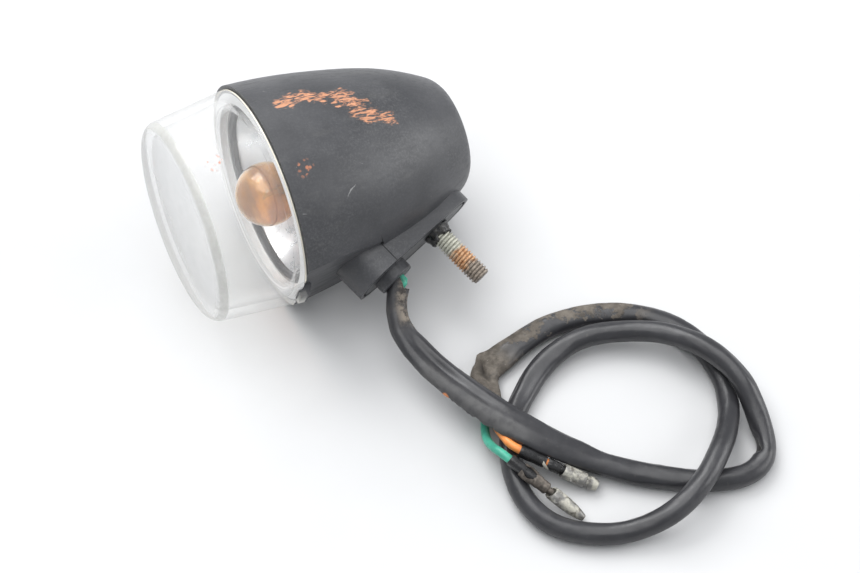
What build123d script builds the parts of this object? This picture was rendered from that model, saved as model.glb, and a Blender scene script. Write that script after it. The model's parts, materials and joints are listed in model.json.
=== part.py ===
"""Motorcycle turn signal: a bullet lamp with a clear lens, an M6 stud and a free two-wire lead.

The lamp lies on its belly on a flat surface, z = 0.  +X runs from the lens to the tail, the
mounting foot and the lead come out towards -Y, and +Z is up.  The origin is on the surface,
under the middle of the lamp's own box, with the lead left out of that box.
"""
from build123d import *
from math import cos, pi, radians, sin
import os

os.makedirs("parts", exist_ok=True)

# ---------------------------------------------------------------- driving dimensions, mm
JOINT_X, JOINT_Y = -16.1, 5.2   # centre of the lens joint, seen from above
JOINT_Z = 31.9                  # its height
TILT = 5.0                      # degrees, tail down, as the lamp lies
ROLL = 17.0                     # degrees, foot down, as the lamp lies

JOINT_R = 32.0                  # outer radius of the housing where the lens meets it
WALL = 2.3                      # housing wall
TAIL_U = 59.0                   # tail of the housing, behind the joint
SEAT_R = 27.2                   # bore that takes the lens skirt, gasket and reflector
SEAT_U = 4.6                    # depth of that bore

LENS_U = -26.0                  # crown of the lens, in front of the joint
LENS_R = 30.95                  # lens radius at the joint
LENS_WALL = 2.2

PAD_ANGLE = 21.3                # degrees between the foot's face and the lamp axis
STUD_U, STUD_V = 42.3, 25.9     # centre of the stud on the foot's face
STUD_TO_BOSS = 18.5             # from the stud to the wire outlet
FLAT_V = 28.6                   # flat under the rim, from the axis
PAD_ENDS = ((-5.4, 7.6), (20.6, 9.0))   # centre and radius of each end of the foot
STUD_R = 3.0                    # M6
STUD_OUT = 18.6                 # stud beyond the foot's face
SHANK_R, COLLAR_T = 3.4, 1.6    # plain shank inside the foot and under the collar
BOSS_R, BOSS_OUT = 5.4, 3.3     # grommet beyond the foot's face

GLOBE_R, GLOBE_U = 9.0, 2.2     # bulb globe and its centre
CAP_R = 7.5                     # 15 mm bayonet cap
SOCKET_R = 7.7                  # bore of the bulb holder
PIN_U = 21.0                    # bayonet pins behind the joint
PRESS = 1.8                     # travel of the sprung contact
TURN = 17.0                     # degrees, bayonet turn

SLEEVE_R = 3.0                  # PVC sleeve over the two wires
LEAD_R = 1.2                    # one insulated wire
CRIMP_L = 5.6                   # crimp barrel on each wire
BARE = 3.6                      # how far the wire goes into its crimp
TIP = 0.4                       # small flat at the pole of each domed piece

# ---------------------------------------------------------------- frames of reference
tilt, roll, pad = radians(TILT), radians(ROLL), radians(PAD_ANGLE)
JOINT = Vector(JOINT_X, JOINT_Y, JOINT_Z)
REAR = Vector(cos(tilt), 0, -sin(tilt))
RISE = Vector(sin(tilt), 0, cos(tilt))
FOOT = Vector(0, -1, 0) * cos(roll) - RISE * sin(roll)

LAMP = Plane(origin=JOINT, x_dir=FOOT, z_dir=REAR)                  # x to the foot, z rearwards
PROFILE = Plane(origin=JOINT, x_dir=FOOT, z_dir=FOOT.cross(REAR))   # x radius, y rearwards
LAMP_AXIS = Axis(JOINT, REAR)
FLAT = Plane(
    origin=JOINT + FOOT * FLAT_V,
    x_dir=REAR * cos(radians(5.0)) - FOOT * sin(radians(5.0)),
    z_dir=FOOT * cos(radians(5.0)) + REAR * sin(radians(5.0)),
)                                                                   # x rearwards, z out
FACE = Plane(
    origin=JOINT + REAR * STUD_U + FOOT * STUD_V,
    x_dir=FOOT * sin(pad) - REAR * cos(pad),
    z_dir=FOOT * cos(pad) + REAR * sin(pad),
)                                                                   # x to the wires, z out


def save(part, name):
    part.label = name
    export_step(part, f"parts/{name}.step")


def foot_outline(inset):
    """Outline of the foot's face, drawn in by the inset."""
    with BuildSketch() as outline:
        with BuildLine():
            for centre, radius in PAD_ENDS:
                CenterArc((centre, 0), radius - inset, 0, 360)
        make_hull()
    return outline.sketch


def at_lamp(x, y, u):
    """A point of the lamp: x towards the foot, y across, u behind the joint."""
    return LAMP.from_local_coords(Vector(x, y, u))


def at_face(x, y, out):
    """A point of the foot: x from the stud to the wires, y across, out of its face."""
    return FACE.from_local_coords(Vector(x, y, out))


def tube_corners(points):
    """As large a radius at each corner as the two runs beside it allow."""
    radii = []
    for before, here, after in zip(points, points[1:], points[2:]):
        turn = radians((here - before).get_angle(after - here))
        run = min((here - before).length, (after - here).length)
        radii.append(0.45 * run / abs(sin(turn / 2) / cos(turn / 2)))
    return radii


def tube(name, points, radius):
    """A round cord along straight runs joined by arcs, written as one part."""
    radii = tube_corners(points)
    with BuildPart() as cord:
        with BuildLine() as route:
            FilletPolyline(*points, radius=radii)
        with BuildSketch(Plane(origin=route.line @ 0, z_dir=route.line % 0)):
            Circle(radius)
        sweep()
    save(cord.part, name)
    length = sum(edge.length for edge in route.edges())
    print(name, "length", round(length, 1), "radii", [round(r, 1) for r in radii])
    print(name, "volume / section x length", round(cord.part.volume / (pi * radius**2 * length), 4))
    return cord.part


# ---------------------------------------------------------------- housing and its foot
with BuildPart() as housing:
    with BuildSketch(PROFILE):
        with BuildLine():
            skin = Spline((JOINT_R, 0), (30.4, 14), (27.6, 28), (23.6, 42), (18.9, 52), (17.0, 55.2))
            corner = TangentArc(skin @ 1, (14.3, 57.9), tangent=skin % 1)
            Line(corner @ 1, (0, TAIL_U))
            Line((0, TAIL_U), (0, 0))
            Line((0, 0), (JOINT_R, 0))
        make_face()
    revolve(axis=LAMP_AXIS)

    # flat on the foot's side, from the rim to the foot, with a small tongue left at the rim
    with BuildSketch(FLAT):
        with Locations((10.0, 0)):
            RectangleRounded(28.0, 2 * 16.0, 4.0)
    extrude(amount=8, mode=Mode.SUBTRACT)
    with BuildSketch(PROFILE):
        Polygon((27.0, 0.4), (29.7, -0.2), (29.7, -1.6), (31.5, -1.6), (31.7, 0.8), (28.8, 2.6), align=None)
    extrude(amount=3.0, both=True)

    # tapered foot, sunk into the shell
    with BuildSketch(FACE):
        add(foot_outline(0.0))
    extrude(amount=-15)

    # stepped bore from the front: seat, then the hollow of the shell
    with BuildSketch(PROFILE):
        with BuildLine():
            Polyline((0, -1), (SEAT_R, -1), (SEAT_R, SEAT_U), (26.2, SEAT_U))
            hollow = Spline((26.2, SEAT_U), (25.6, 14), (24.0, 28), (20.8, 42), (16.4, 52), (14.0, 55.4))
            Line(hollow @ 1, (0, TAIL_U - WALL - 0.6))
            Line((0, TAIL_U - WALL - 0.6), (0, -1))
        make_face()
    revolve(axis=LAMP_AXIS, mode=Mode.SUBTRACT)

    # hollow of the foot, closed by its face
    with BuildSketch(FACE.offset(-3.2)):
        add(foot_outline(2.0))
    extrude(amount=-15, mode=Mode.SUBTRACT)

    # holes for the stud and the grommet
    with BuildSketch(FACE.offset(1)):
        Circle(SHANK_R)
        with Locations((STUD_TO_BOSS, 0)):
            Circle(3.6)
    extrude(amount=-12, mode=Mode.SUBTRACT)

    # shallow groove round the face
    with BuildSketch(FACE.offset(-0.5)):
        add(foot_outline(1.2))
        add(foot_outline(2.0), mode=Mode.SUBTRACT)
    extrude(amount=2, mode=Mode.SUBTRACT)

    # drain notch and pry slot at the bottom of the rim
    with BuildSketch(LAMP):
        with Locations((13.5, 29.0)):
            Rectangle(3.6, 5.0)
    extrude(amount=1.6, mode=Mode.SUBTRACT)
save(housing.part, "housing")

# ---------------------------------------------------------------- lens
with BuildPart() as lens:
    with BuildSketch(PROFILE):
        with BuildLine():
            Polyline((26.9, 1.6), (26.9, -0.3), (LENS_R, -0.3), (28.65, -21.6))
            edge = TangentArc((28.65, -21.6), (26.2, -24.3), tangent=(-0.11, -1))
            ThreePointArc(edge @ 1, (13.5, -25.6), (TIP, LENS_U))
            Polyline((TIP, LENS_U), (0, LENS_U), (0, LENS_U + 3.0), (TIP, LENS_U + 3.0))
            ThreePointArc((TIP, LENS_U + 3.0), (12.5, -22.7), (24.4, -21.7))
            inner = TangentArc((24.4, -21.7), (26.3, -19.8), tangent=(1, 0.06))
            Polyline(inner @ 1, (LENS_R - 0.3 - LENS_WALL, -2.4), (24.9, -1.2), (24.9, 1.6), (26.9, 1.6))
        make_face()
    revolve(axis=LAMP_AXIS)
    # flat that continues the one on the housing
    with BuildSketch(PROFILE):
        Polygon((29.4, -0.3), (29.4, -18), (36, -18), (36, -0.3), align=None)
    extrude(amount=16, both=True, mode=Mode.SUBTRACT)
save(lens.part, "lens")

with BuildPart() as lens_gasket:
    with BuildSketch(LAMP.offset(1.8)):
        Circle(26.9)
        Circle(23.6, mode=Mode.SUBTRACT)
    extrude(amount=1.6)
    fillet(lens_gasket.edges().filter_by(GeomType.CIRCLE), 0.4)
save(lens_gasket.part, "lens_gasket")

# ---------------------------------------------------------------- reflector
with BuildPart() as reflector:
    with BuildSketch(PROFILE):
        with BuildLine():
            Polyline((26.9, 4.5), (26.9, 3.6), (25.2, 3.6))
            bowl = Spline((25.2, 3.6), (21.8, 10.0), (17.5, 15.1), (13.1, 18.2), (9.6, 19.9))
            Polyline(bowl @ 1, (8.9, 20.1), (8.9, 24.0), (9.8, 24.0), (9.8, 20.9))
            back = Spline((9.8, 20.9), (13.6, 19.2), (18.1, 16.1), (22.5, 11.0), (25.9, 4.5))
            Line(back @ 1, (26.9, 4.5))
        make_face()
    revolve(axis=LAMP_AXIS)
save(reflector.part, "reflector")

# ---------------------------------------------------------------- bulb holder
with BuildPart() as socket_shell:
    with BuildSketch(PROFILE):
        with BuildLine():
            Polyline(
                (SOCKET_R, 15.5), (8.4, 15.5), (8.4, 24.1), (10.4, 24.1), (10.4, 25.1), (8.4, 25.1),
                (8.4, 41.4), (SOCKET_R, 41.4), close=True,
            )
        make_face()
    revolve(axis=LAMP_AXIS)
    # bayonet slots: an open leg from the mouth, then a window that the pin is turned across
    for first in (0, 150):
        for step in range(8):
            turned = radians(first - TURN - 1.5 + (TURN + 3.0) * step / 7)
            out = LAMP.x_dir * cos(turned) + LAMP.y_dir * sin(turned)
            start = 15.0 if step == 0 else 19.7
            end = 24.05
            with BuildSketch(Plane(origin=JOINT + REAR * (start + end) / 2 + out * 7.0, x_dir=REAR, z_dir=out)):
                Rectangle(end - start, 2.7)
            extrude(amount=2.2, mode=Mode.SUBTRACT)
save(socket_shell.part, "socket_shell")

with BuildPart() as socket_base:
    with BuildSketch(LAMP.offset(41.5)):
        Circle(8.4)
        Circle(2.4, mode=Mode.SUBTRACT)
    extrude(amount=1.2)
save(socket_base.part, "socket_base")

# sheet strap from the holder to the inner end of the stud
with BuildPart() as socket_bracket:
    with BuildSketch(LAMP.offset(29.0)):
        Circle(9.7)
        Circle(8.5, mode=Mode.SUBTRACT)
    extrude(amount=7)
    with BuildSketch(PROFILE):
        with BuildLine():
            Polyline((9.0, 29.6), (26.8, 29.6), (26.4, 30.8), (9.0, 30.8), close=True)
        make_face()
    extrude(amount=3.5, both=True)
    with BuildSketch(FACE.offset(-4.4)):
        with Locations((3.2, 0)):
            Rectangle(17.6, 8.4)
        Circle(SHANK_R, mode=Mode.SUBTRACT)
    extrude(amount=1.2)
save(socket_bracket.part, "socket_bracket")

# ---------------------------------------------------------------- sprung contact
with BuildPart() as contact_plate:
    with BuildSketch(LAMP.offset(31.2)):
        Circle(4.6)
    extrude(amount=0.8)
save(contact_plate.part, "contact_plate")

with BuildPart() as plunger_disc:
    with BuildSketch(LAMP.offset(32.0)):
        Circle(7.2)
        Circle(1.6, mode=Mode.SUBTRACT)
    extrude(amount=1.4)
save(plunger_disc.part, "plunger_disc")

with BuildPart() as contact_rivet:
    with BuildSketch(LAMP.offset(32.0)):
        Circle(1.5)
    extrude(amount=7.0)
save(contact_rivet.part, "contact_rivet")

with BuildPart() as contact_spring:
    with BuildLine() as coil:
        Helix(pitch=1.9, height=7.2, radius=4.6, center=at_lamp(0, 0, 33.85), direction=REAR)
    with BuildSketch(Plane(origin=coil.line @ 0, z_dir=coil.line % 0)):
        Circle(0.35)
    sweep(is_frenet=True)
save(contact_spring.part, "contact_spring")

# ---------------------------------------------------------------- bulb
with BuildPart() as bulb_glass:
    # the globe and its neck, then the same outline a wall's thickness further in
    for wall, mode in ((0.0, Mode.ADD), (0.7, Mode.SUBTRACT)):
        ball, neck, end = GLOBE_R - wall, 6.6 - wall, 13.5 + wall
        with BuildSketch(PROFILE):
            with BuildLine():
                join = (neck, GLOBE_U + (ball**2 - neck**2) ** 0.5)
                front = (TIP, GLOBE_U - (ball**2 - TIP**2) ** 0.5)
                ThreePointArc(front, (ball, GLOBE_U), join)
                Polyline(join, (neck, end), (0, end), (0, front[1]), front)
            make_face()
        revolve(axis=LAMP_AXIS, mode=mode)
save(bulb_glass.part, "bulb_glass")

with BuildPart() as bulb_cap:
    with BuildSketch(PROFILE):
        with BuildLine():
            Polyline(
                (6.8, 10.6), (7.5, 10.6), (CAP_R, 27.6), (6.6, 28.6), (5.6, 28.6), (5.6, 28.0),
                (6.8, 27.2), close=True,
            )
        make_face()
    revolve(axis=LAMP_AXIS)
save(bulb_cap.part, "bulb_cap")

with BuildPart() as bulb_pins:
    for angle in (0, 150):
        out = LAMP.x_dir * cos(radians(angle)) + LAMP.y_dir * sin(radians(angle))
        with BuildSketch(Plane(origin=JOINT + REAR * PIN_U + out * 7.5, x_dir=REAR, z_dir=out)):
            Circle(1.0)
        extrude(amount=1.0)
save(bulb_pins.part, "bulb_pins")

with BuildPart() as bulb_insulator:
    with BuildSketch(PROFILE):
        with BuildLine():
            Polyline((0, 28.2), (5.5, 28.2), (5.5, 28.8), (3.2, 29.8), (0, 29.8), close=True)
        make_face()
    revolve(axis=LAMP_AXIS)
save(bulb_insulator.part, "bulb_insulator")

with BuildPart() as bulb_contact:
    with BuildSketch(PROFILE):
        with BuildLine():
            Polyline((0, 29.8), (2.4, 29.8), (2.4, 30.2))
            ThreePointArc((2.4, 30.2), (1.6, 30.85), (TIP, 31.1))
            Polyline((TIP, 31.1), (0, 31.1), (0, 29.8))
        make_face()
    revolve(axis=LAMP_AXIS)
save(bulb_contact.part, "bulb_contact")

with BuildPart() as bulb_stem:
    with BuildSketch(LAMP.offset(5.6)):
        Circle(1.3)
    with BuildSketch(LAMP.offset(12.6)):
        Circle(3.4)
    loft()
save(bulb_stem.part, "bulb_stem")

with BuildPart() as bulb_leads:
    for side in (-1, 1):
        with BuildSketch(LAMP.offset(2.0)):
            with Locations((0, side * 2.6)):
                Circle(0.25)
        with BuildSketch(LAMP.offset(5.6)):
            with Locations((0, side * 1.6)):
                Circle(0.25)
        loft()
save(bulb_leads.part, "bulb_leads")

with BuildPart() as bulb_filament:
    with BuildSketch(Plane(origin=at_lamp(0, -2.9, 1.6), x_dir=REAR, z_dir=LAMP.y_dir)):
        Circle(0.4)
    extrude(amount=5.8)
save(bulb_filament.part, "bulb_filament")

# ---------------------------------------------------------------- stud and its hardware
with BuildPart() as mounting_stud:
    with BuildSketch(FACE.offset(-9.0)):
        Circle(SHANK_R)
    extrude(amount=9.0 + COLLAR_T)
    with BuildSketch(FACE):
        Circle(STUD_R)
    extrude(amount=STUD_OUT)
    chamfer(mounting_stud.faces().sort_by(Axis(FACE.origin, FACE.z_dir))[-1].edges(), 0.7)
save(mounting_stud.part, "mounting_stud")

with BuildPart() as stud_nut:
    with BuildSketch(FACE.offset(-8.0)):
        RegularPolygon(5.0, 6, major_radius=False)
        Circle(SHANK_R, mode=Mode.SUBTRACT)
    extrude(amount=2.8)
save(stud_nut.part, "stud_nut")

with BuildPart() as stud_collar:
    with BuildSketch(FACE):
        Circle(4.0)
        Circle(SHANK_R, mode=Mode.SUBTRACT)
    extrude(amount=COLLAR_T)
save(stud_collar.part, "stud_collar")

with BuildPart() as ground_terminal:
    with BuildSketch(FACE.offset(-5.2)):
        Circle(5.2)
        with Locations((6.3, -3.5)):
            Rectangle(7.0, 3.0)
        Circle(SHANK_R, mode=Mode.SUBTRACT)
    extrude(amount=0.8)
save(ground_terminal.part, "ground_terminal")

# ---------------------------------------------------------------- grommet and inner wires
with BuildPart() as wire_grommet:
    with BuildSketch(FACE):
        with Locations((STUD_TO_BOSS, 0)):
            Circle(BOSS_R)
    extrude(amount=BOSS_OUT)
    fillet(wire_grommet.edges().sort_by(Axis(FACE.origin, FACE.z_dir))[-1], 0.5)
    with BuildSketch(FACE):
        with Locations((STUD_TO_BOSS, 0)):
            Circle(3.5)
    extrude(amount=-3.3)
    with BuildSketch(FACE.offset(-3.3)):
        with Locations((STUD_TO_BOSS, 0)):
            Circle(4.6)
    extrude(amount=-1.4)
    with BuildSketch(FACE.offset(5)):
        with Locations((STUD_TO_BOSS, 0)):
            Circle(2.6)
    extrude(amount=-12, mode=Mode.SUBTRACT)
save(wire_grommet.part, "wire_grommet")

tube(
    "wire_green",
    [at_lamp(*p) for p in ((0, 0, 41.2), (0, 0, 46.4), (5, 5, 49.0), (13, 7.5, 43.5), (16.6, 7.4, 33.0))]
    + [at_face(STUD_TO_BOSS + x, y, out) for x, y, out in ((0, 5.0, -12.0), (-1.3, 0.3, -7.6), (-1.3, 0.3, 5.0))],
    LEAD_R,
)
tube(
    "wire_orange",
    [at_face(x, y, out) for x, y, out in ((6.0, -4.9, -6.4), (10.8, -5.0, -7.2), (15.6, -4.6, -10.4))]
    + [at_face(STUD_TO_BOSS + 1.3, -0.3, out) for out in (-7.0, 5.0)],
    LEAD_R,
)


# ---------------------------------------------------------------- the free lead
def on_table(*points):
    """Points of the lead, from the spot on the surface under the joint's centre."""
    return [Vector(JOINT_X + x, JOINT_Y + y, z) for x, y, z in points]


SLEEVE = on_table(
    (24.6, -35.6, 18.0), (22.9, -37.9, 16.2), (21.4, -41.3, 13.9), (21.0, -46.2, 11.8),
    (22.3, -52.0, 10.4), (24.8, -60.0, 9.7), (29.2, -71.2, 9.9), (37.0, -86.4, 10.0), (46.5, -96.2, 5.6),
    (57.0, -106.0, 3.1), (70.0, -116.2, 3.1), (80.0, -121.2, 3.1), (87.5, -122.8, 3.1),
    (93.3, -120.6, 3.1), (96.6, -115.3, 3.1), (98.2, -107.0, 5.2), (98.4, -97.5, 9.6),
    (94.6, -86.0, 9.8), (87.5, -75.6, 7.2), (77.5, -69.0, 5.6), (66.0, -65.4, 5.2),
    (55.0, -67.0, 4.0), (44.5, -72.6, 3.1), (36.3, -81.0, 3.1), (30.9, -91.5, 3.1),
    (29.0, -103.0, 3.1), (32.8, -113.3, 3.1), (42.0, -120.6, 3.1), (53.0, -124.4, 4.0),
    (63.5, -125.2, 8.0), (73.0, -121.6, 10.0), (82.0, -115.2, 9.4), (90.0, -107.0, 5.4),
    (95.3, -97.0, 3.1), (97.0, -86.0, 3.1), (93.6, -74.6, 3.1), (85.5, -65.3, 3.1),
    (74.0, -59.3, 3.1), (61.5, -56.8, 3.1), (50.5, -58.6, 3.1), (43.5, -60.3, 3.1),
    (37.2, -62.8, 3.1), (35.6, -68.4, 3.1), (34.4, -73.0, 3.1),
)
tube("harness_sleeve", SLEEVE, SLEEVE_R)

GREEN = on_table((33.2, -72.7, 2.6), (30.6, -76.8, 2.5), (28.6, -81.2, 3.8), (27.9, -85.8, 6.8))
GREEN_TIP = on_table((29.9, -92.4, 9.2), (41.3, -113.9, 2.1))
ORANGE = on_table((35.6, -73.3, 2.6), (33.4, -77.4, 3.2), (32.2, -81.4, 5.7), (32.0, -85.4, 8.2))
ORANGE_TIP = on_table((33.6, -90.9, 8.4), (49.1, -107.0, 2.1))

for colour, lead, (boot_end, tip), boot_length in (
    ("green", GREEN, GREEN_TIP, 8.6),
    ("orange", ORANGE, ORANGE_TIP, 7.4),
):
    reach = (tip - boot_end).length
    along = (tip - boot_end).normalized()
    terminal = Plane(origin=boot_end, z_dir=along)
    tube(f"lead_{colour}", lead + [boot_end - along * 2.0, boot_end + along * (boot_length + BARE)], LEAD_R)

    with BuildPart() as boot:
        with BuildSketch(terminal.offset(0.2)):
            Circle(1.7)
            Circle(1.3, mode=Mode.SUBTRACT)
        extrude(amount=boot_length - 0.2)
    save(boot.part, f"boot_{colour}")

    with BuildPart() as crimp:
        with BuildSketch(terminal.offset(boot_length)):
            Circle(1.95)
        extrude(amount=CRIMP_L)
        with BuildSketch(terminal.offset(boot_length)):
            Circle(1.3)
        extrude(amount=BARE + 0.2, mode=Mode.SUBTRACT)
    save(crimp.part, f"crimp_{colour}")

    with BuildPart() as bullet:
        with BuildSketch(terminal.offset(boot_length + CRIMP_L)):
            Circle(1.4)
        extrude(amount=0.8)
        with BuildSketch(terminal.offset(boot_length + CRIMP_L + 0.8)):
            Circle(2.0)
        extrude(amount=reach - boot_length - CRIMP_L - 0.8)
        fillet(bullet.faces().sort_by(Axis(boot_end, along))[-1].edges(), 1.0)
    save(bullet.part, f"bullet_{colour}")
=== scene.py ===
"""Visual model of a motorcycle turn signal: bullet lamp, threaded stud and a free two-wire lead."""

import bpy
import bmesh
import json
from math import cos, exp, pi, radians, sin
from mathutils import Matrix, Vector, noise

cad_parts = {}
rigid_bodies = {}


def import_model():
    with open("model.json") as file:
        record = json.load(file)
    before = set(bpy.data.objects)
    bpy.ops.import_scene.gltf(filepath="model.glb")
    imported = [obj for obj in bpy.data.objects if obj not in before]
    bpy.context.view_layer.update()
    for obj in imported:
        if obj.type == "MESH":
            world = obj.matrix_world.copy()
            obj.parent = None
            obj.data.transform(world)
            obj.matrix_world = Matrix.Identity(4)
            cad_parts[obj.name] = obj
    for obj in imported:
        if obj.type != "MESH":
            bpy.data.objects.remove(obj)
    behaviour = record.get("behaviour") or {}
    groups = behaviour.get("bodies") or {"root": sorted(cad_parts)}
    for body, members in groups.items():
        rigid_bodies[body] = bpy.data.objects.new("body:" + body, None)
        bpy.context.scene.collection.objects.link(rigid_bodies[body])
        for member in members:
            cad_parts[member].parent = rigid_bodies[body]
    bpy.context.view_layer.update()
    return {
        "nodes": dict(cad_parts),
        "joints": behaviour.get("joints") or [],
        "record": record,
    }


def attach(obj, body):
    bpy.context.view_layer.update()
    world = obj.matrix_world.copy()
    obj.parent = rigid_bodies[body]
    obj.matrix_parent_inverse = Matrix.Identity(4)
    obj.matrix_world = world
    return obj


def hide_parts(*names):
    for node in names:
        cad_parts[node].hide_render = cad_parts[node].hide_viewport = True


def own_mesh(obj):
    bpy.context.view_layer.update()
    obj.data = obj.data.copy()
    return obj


for leftover in list(bpy.data.objects):
    bpy.data.objects.remove(leftover)

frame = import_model()
scene = bpy.context.scene
nodes = frame["nodes"]
mounts = {mount["name"]: mount for mount in frame["record"]["mounts"]}
bulb_turn = next(joint for joint in frame["joints"] if joint["name"] == "bulb_turn")

MM = 0.001
FULL = 2 * pi
LAMP = "lamp_body"                                      # the body that every piece made here rides on
LENS_R = 30.95                                          # the lens where it meets the housing, mm

# ---------------------------------------------------------------- frames of reference
JOINT = Vector(bulb_turn["pos_m"])                      # centre of the lens joint
REAR = -Vector(bulb_turn["axis"]).normalized()          # towards the tail
OUT = Vector(mounts["stud"]["axis"]).normalized()       # out of the foot's face
FOOT = (OUT - REAR * OUT.dot(REAR)).normalized()
DOWN = REAR.cross(FOOT)
WIREWARD = DOWN.cross(OUT)                              # along the face, from the stud to the wires
STUD_MOUNT_OUT = 9.8                                    # the stud's mount point, out from the foot's face, mm
STUD = Vector(mounts["stud"]["pos_m"]) - OUT * STUD_MOUNT_OUT * MM
STUD_TO_BOSS, BOSS_OUT = 18.5, 3.3


def lamp_point(x, y, u):
    """x to the foot, y down, u behind the joint, in millimetres."""
    return JOINT + (FOOT * x + DOWN * y + REAR * u) * MM


def face_point(x, y, out):
    """x to the wires, y down, out of the foot's face, in millimetres."""
    return STUD + (WIREWARD * x + DOWN * y + OUT * out) * MM


def on_table(*points):
    """Points of the lead, from the spot on the surface under the joint's centre."""
    return [Vector((JOINT.x + x * MM, JOINT.y + y * MM, z * MM)) for x, y, z in points]


# ---------------------------------------------------------------- camera
AZIMUTH, ELEVATION, DISTANCE = radians(-26.5), radians(58.0), 0.620
AIM = Vector((JOINT.x + 34.93 * MM, JOINT.y - 34.7 * MM, 9.9 * MM))
back = Vector((sin(AZIMUTH) * cos(ELEVATION), -cos(AZIMUTH) * cos(ELEVATION), sin(ELEVATION)))
camera = bpy.data.objects.new("camera", bpy.data.cameras.new("camera"))
camera.location = AIM + back * DISTANCE
camera.rotation_euler = back.to_track_quat("Z", "Y").to_euler()
camera.data.lens, camera.data.sensor_width = 92.72, 36.0
camera.data.clip_start, camera.data.clip_end = 0.01, 20.0
scene.collection.objects.link(camera)
scene.camera = camera

# ---------------------------------------------------------------- routes of the cords
LEAD_R = 1.2                                            # radius of a lead over its insulation, mm
SLEEVE_ROUTE = on_table(
    (24.6, -35.6, 18.0), (22.9, -37.9, 16.2), (21.4, -41.3, 13.9), (21.0, -46.2, 11.8),
    (22.3, -52.0, 10.4), (24.8, -60.0, 9.7), (29.2, -71.2, 9.9), (37.0, -86.4, 10.0), (46.5, -96.2, 5.6),
    (57.0, -106.0, 3.1), (70.0, -116.2, 3.1), (80.0, -121.2, 3.1), (87.5, -122.8, 3.1),
    (93.3, -120.6, 3.1), (96.6, -115.3, 3.1), (98.2, -107.0, 5.2), (98.4, -97.5, 9.6),
    (94.6, -86.0, 9.8), (87.5, -75.6, 7.2), (77.5, -69.0, 5.6), (66.0, -65.4, 5.2),
    (55.0, -67.0, 4.0), (44.5, -72.6, 3.1), (36.3, -81.0, 3.1), (30.9, -91.5, 3.1),
    (29.0, -103.0, 3.1), (32.8, -113.3, 3.1), (42.0, -120.6, 3.1), (53.0, -124.4, 4.0),
    (63.5, -125.2, 8.0), (73.0, -121.6, 10.0), (82.0, -115.2, 9.4), (90.0, -107.0, 5.4),
    (95.3, -97.0, 3.1), (97.0, -86.0, 3.1), (93.6, -74.6, 3.1), (85.5, -65.3, 3.1),
    (74.0, -59.3, 3.1), (61.5, -56.8, 3.1), (50.5, -58.6, 3.1), (43.5, -60.3, 3.1),
    (37.2, -62.8, 3.1), (35.6, -68.4, 3.1), (34.4, -73.0, 3.1),
)
TAILS = {
    "green": {
        "lead": on_table((33.2, -72.7, 2.6), (30.6, -76.8, 2.5), (28.6, -81.2, 3.8), (27.9, -85.8, 6.8)),
        "ends": on_table((29.9, -92.4, 9.2), (41.3, -113.9, 2.1)),
        "boot": 8.6,
        "length": 35.0,
    },
    "orange": {
        "lead": on_table((35.6, -73.3, 2.6), (33.4, -77.4, 3.2), (32.2, -81.4, 5.7), (32.0, -85.4, 8.2)),
        "ends": on_table((33.6, -90.9, 8.4), (49.1, -107.0, 2.1)),
        "boot": 7.4,
        "length": 31.1,
    },
}
CRIMP_L, BARE = 5.6, 3.6
TORN = on_table((23.4, -67.6, 9.4))[0]                   # where the orange wire shows through the sleeve's edge


def nurbs_curve(name, points):
    """A smooth open spline with the route's points as its control points."""
    data = bpy.data.curves.new(name, "CURVE")
    data.dimensions = "3D"
    spline = data.splines.new("NURBS")
    spline.points.add(len(points) - 1)
    for knot, point in zip(spline.points, points):
        knot.co = (*point, 1.0)
    spline.order_u = 3
    spline.use_endpoint_u = True
    spline.resolution_u = 16
    return data


def spline_points(name, points, step):
    """Points read from the route's spline, spaced evenly by about step."""
    probe = bpy.data.objects.new(name, nurbs_curve(name, points))
    mesh = bpy.data.meshes.new_from_object(probe)
    dense = [vertex.co.copy() for vertex in mesh.vertices]
    bpy.data.objects.remove(probe)
    reach = [0.0]
    for a, b in zip(dense, dense[1:]):
        reach.append(reach[-1] + (b - a).length)
    count = max(4, round(reach[-1] / step))
    even, i = [], 0
    for k in range(count + 1):
        target = reach[-1] * k / count
        while i < len(reach) - 2 and reach[i + 1] < target:
            i += 1
        part = (target - reach[i]) / max(reach[i + 1] - reach[i], 1e-9)
        even.append(dense[i].lerp(dense[i + 1], min(1.0, part)))
    return even, reach[-1]


SLEEVE_STEP = 0.8
sleeve_path, sleeve_length = spline_points("sleeve_route", SLEEVE_ROUTE, SLEEVE_STEP * MM)
# how far along the sleeve each point of its route is passed, mm
RUNS, passed = [], 0
for knot in SLEEVE_ROUTE:
    ahead = range(passed, min(len(sleeve_path), passed + 45))
    passed = min(ahead, key=lambda i: (sleeve_path[i] - knot).length)
    RUNS.append(passed * sleeve_length / MM / (len(sleeve_path) - 1))


# ---------------------------------------------------------------- mesh helpers
def new_object(name, mesh):
    piece = bpy.data.objects.new(name, mesh)
    scene.collection.objects.link(piece)
    return piece


def finished_mesh(name, bm, sharp):
    mesh = bpy.data.meshes.new(name)
    bmesh.ops.remove_doubles(bm, verts=bm.verts, dist=1e-7)
    bmesh.ops.recalc_face_normals(bm, faces=bm.faces)
    bm.to_mesh(mesh)
    bm.free()
    mesh.shade_smooth()
    mesh.set_sharp_from_angle(angle=radians(sharp))
    return new_object(name, mesh)


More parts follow.
